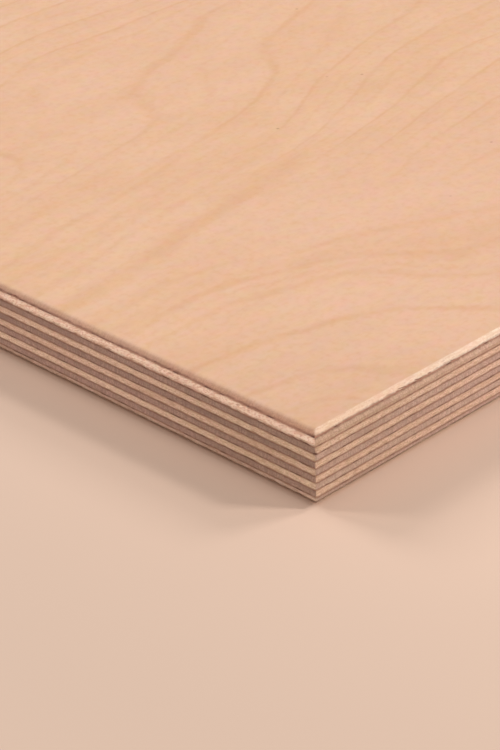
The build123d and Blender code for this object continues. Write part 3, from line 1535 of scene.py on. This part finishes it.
# %% The face and the back
FACE_RELIEF = 0.008 * MM
FACE_GLOSS = 0.35
FACE_HUE_CELL = (3.2, 3.2, 3.2)
FACE_HUE_REACH = 0.14
BEVEL_LONG = ((0.998, 0.765, 0.610), (0.875, 0.588, 0.438))
BEVEL_END = ((0.655, 0.360, 0.252), (0.455, 0.232, 0.165))
RIM_OF_BEVEL_SIDE = ((0.0, 0.0), (0.30, 0.72))
RIM_OF_BEVEL_END = ((0.0, 0.0), (0.36, 0.95))
CUT_ROUGHNESS = 0.78
CUT_RELIEF = 0.6 * RELIEF
# Where the cut of the bevel starts and where it is full, from the line between bevel and face
CRISP_BAND = (0.12, -0.16)
FUZZY_BAND = (0.42, -0.95)
# Noise that frays the border, and how far it moves the border
FRINGE = ((0.30, 9.0, 2.4), 3, 1.7)
FUZZ = 0.55


def cut_share(on_end, inside, on_edge):
    """How much of the bevel's cut shows: with a crisp border along the grain, and a frayed one across it."""
    frayed = plus(inside, times(minus(noise(on_edge, *FRINGE), NOISE_MIDDLE), FUZZ))
    crisp = soft_step(inside, *(BEVEL / MM + off for off in CRISP_BAND))
    fuzzy = soft_step(frayed, *(BEVEL / MM + off for off in FUZZY_BAND))
    return between(crisp, fuzzy, on_end)


def face_veneer(name):
    """The material of the face and the back: sanded outside, freshly cut on the bevel."""
    material, tree, shader, place = wood_material(name)
    on_end, inside, on_edge = edge_place(place, FACE_MITRE_BLUR)
    flat_colour, flat_roughness, flat_height = sanded_face(place)
    side_colour, side_height = long_grain(on_edge, *BEVEL_LONG)
    side_colour = stained(on_edge, slivered(place, on_edge, side_colour), *RIM_OF_BEVEL_SIDE)
    end_colour, end_height = end_grain(on_edge, *BEVEL_END)
    end_colour = stained(on_edge, end_colour, *RIM_OF_BEVEL_END)
    is_cut = cut_share(on_end, inside, on_edge)
    seen_colour = tint(flat_colour, tint(side_colour, end_colour, on_end), is_cut)
    varied = wandering_hue(place, seen_colour, FACE_HUE_CELL, FACE_HUE_REACH)
    dirt = tint(FACE_DIRT, BEVEL_DIRT, is_cut)
    tree.links.new(handled(place, varied, dirt), shader.inputs["Base Color"])
    tree.links.new(between(flat_roughness, CUT_ROUGHNESS, is_cut), shader.inputs["Roughness"])
    shader.inputs["Specular IOR Level"].default_value = FACE_GLOSS
    cut_height = times(between(side_height, end_height, on_end), is_cut)
    add_relief(tree, shader, plus(flat_height, times(cut_height, CUT_RELIEF / FACE_RELIEF)), FACE_RELIEF)
    return material


finishes["birch_face_veneer"] = face_veneer("birch_face_veneer")
print("face veneer:", len(finishes["birch_face_veneer"].node_tree.nodes), "nodes")

# %% [markdown]
# ## The glue film
# The resin is dark, dull and a tenth of a millimetre thick. One plain colour would do
# from afar. Close up the saw has smeared it with paler wood, so noise mixes a worn tone
# in, and more of it at the upright corners, where the film is rubbed.

# %% The glue film
GLUE_DARK = (0.150, 0.056, 0.038)
GLUE_WORN = (0.440, 0.205, 0.140)
GLUE_GLOSS = 0.12
GLUE_ROUGHNESS = (0.3, 0.7, 0.55, 0.75)
# Noise for the smears, and where the film is dark and where it is worn
SMEARS = ((2.4, 1.0, 5.0), 3, 5.2)
SMEARED = (0.32, 0.54)
# A film is rubbed paler at an upright corner: how far in that reaches, and how much it adds
RUB_REACH = 1.6
RUB_STRENGTH = 0.22


def corner_rub(place):
    """How much more the film is rubbed pale at an upright corner."""
    from_end, from_side = inside_outline(place)
    return soft_step(plus(from_end, from_side), RUB_REACH, 0.0, 0.0, RUB_STRENGTH)


def glue_film(name):
    """The dark resin between the plies, smeared pale here and there by the saw."""
    material, tree, shader, place = wood_material(name)
    _, _, on_edge = edge_place(place)
    smear = plus(noise(on_edge, *SMEARS), corner_rub(place))
    tree.links.new(tint(GLUE_DARK, GLUE_WORN, soft_step(smear, *SMEARED)), shader.inputs["Base Color"])
    tree.links.new(soft_step(smear, *GLUE_ROUGHNESS), shader.inputs["Roughness"])
    shader.inputs["Specular IOR Level"].default_value = GLUE_GLOSS
    add_relief(tree, shader, smear, RELIEF / 2)
    return material


finishes["phenolic_glue"] = glue_film("phenolic_glue")
print("glue film:", len(finishes["phenolic_glue"].node_tree.nodes), "nodes")

# %% [markdown]
# ## Dressing the layers
# Each layer gets its finish, and three notes that the frame needs: the body that it moves
# with, the solid that it stands for, and the slot of its material. The sheet is bonded,
# so all of them move with one body.

# %% Dressing the layers
def slot_of(name):
    """The record's material slot of a layer."""
    if name in glue_lines:
        return "phenolic_glue"
    if name in (face_ply, back_ply):
        return "birch_face_veneer"
    return "birch_cross_veneer" if runs_across(name) else "birch_long_veneer"


for name, piece in pieces.items():
    piece.data.materials.clear()
    piece.data.materials.append(finishes[slot_of(name)])
    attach(piece, "root")
    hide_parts(name)
print("dressed:", len(pieces), "layers in", len(finishes), "finishes")

# %% [markdown]
# ## The floor
# A plain, pale, matt floor takes the soft shadows. It isn't part of the sheet. A plane is
# enough, because the camera looks down and sees nothing behind it. It is painted a little
# darker on the left, as painted shade for light that falls off on that side. The light that
# it throws back on the sheet is set by itself, paler in hue, so that the foot of the sheet
# doesn't glow red.

# %% Floor
FLOOR_SIZE = 6.0
FLOOR_GAP = 0.02 * MM
FLOOR_COLOUR = (0.765, 0.545, 0.435)
# A deeper floor colour: painted shade towards the left, and the deeper tone of the clouds
FLOOR_DEEP_AND_PAINTED_SHADE = (0.655, 0.475, 0.380)
# Where the painted shade on the left sets in and where it is full, in millimetres along the sheet
LEFT_PAINTED_SHADE_ENDS = (-250.0, -370.0)
FLOOR_CLOUDS = ((60, 60, 60), 3, 2.0, 0.3, 0.7, 0.15)
# The colour of the light that the floor throws back on the sheet
FLOOR_GLOW = (0.620, 0.590, 0.510)
FLOOR_ROUGHNESS = 0.6
bpy.ops.mesh.primitive_plane_add(size=FLOOR_SIZE, location=(0, 0, -FLOOR_GAP))
floor = bpy.context.object
floor.name = "floor"
floor_paint, tree, shader, place = wood_material("pale_floor")
along, _, _ = parts_of(place)
# Painted shade: the floor's colour darkens towards the left
ground = tint(FLOOR_COLOUR, FLOOR_DEEP_AND_PAINTED_SHADE, soft_step(along, *LEFT_PAINTED_SHADE_ENDS))
clouded, _ = grained(place, ground, FLOOR_DEEP_AND_PAINTED_SHADE, FLOOR_CLOUDS)
straight = add_node(tree, "ShaderNodeLightPath").outputs["Is Camera Ray"]
tree.links.new(tint(FLOOR_GLOW, clouded, straight), shader.inputs["Base Color"])
shader.inputs["Roughness"].default_value = FLOOR_ROUGHNESS
floor.data.materials.append(floor_paint)
print("floor in place")
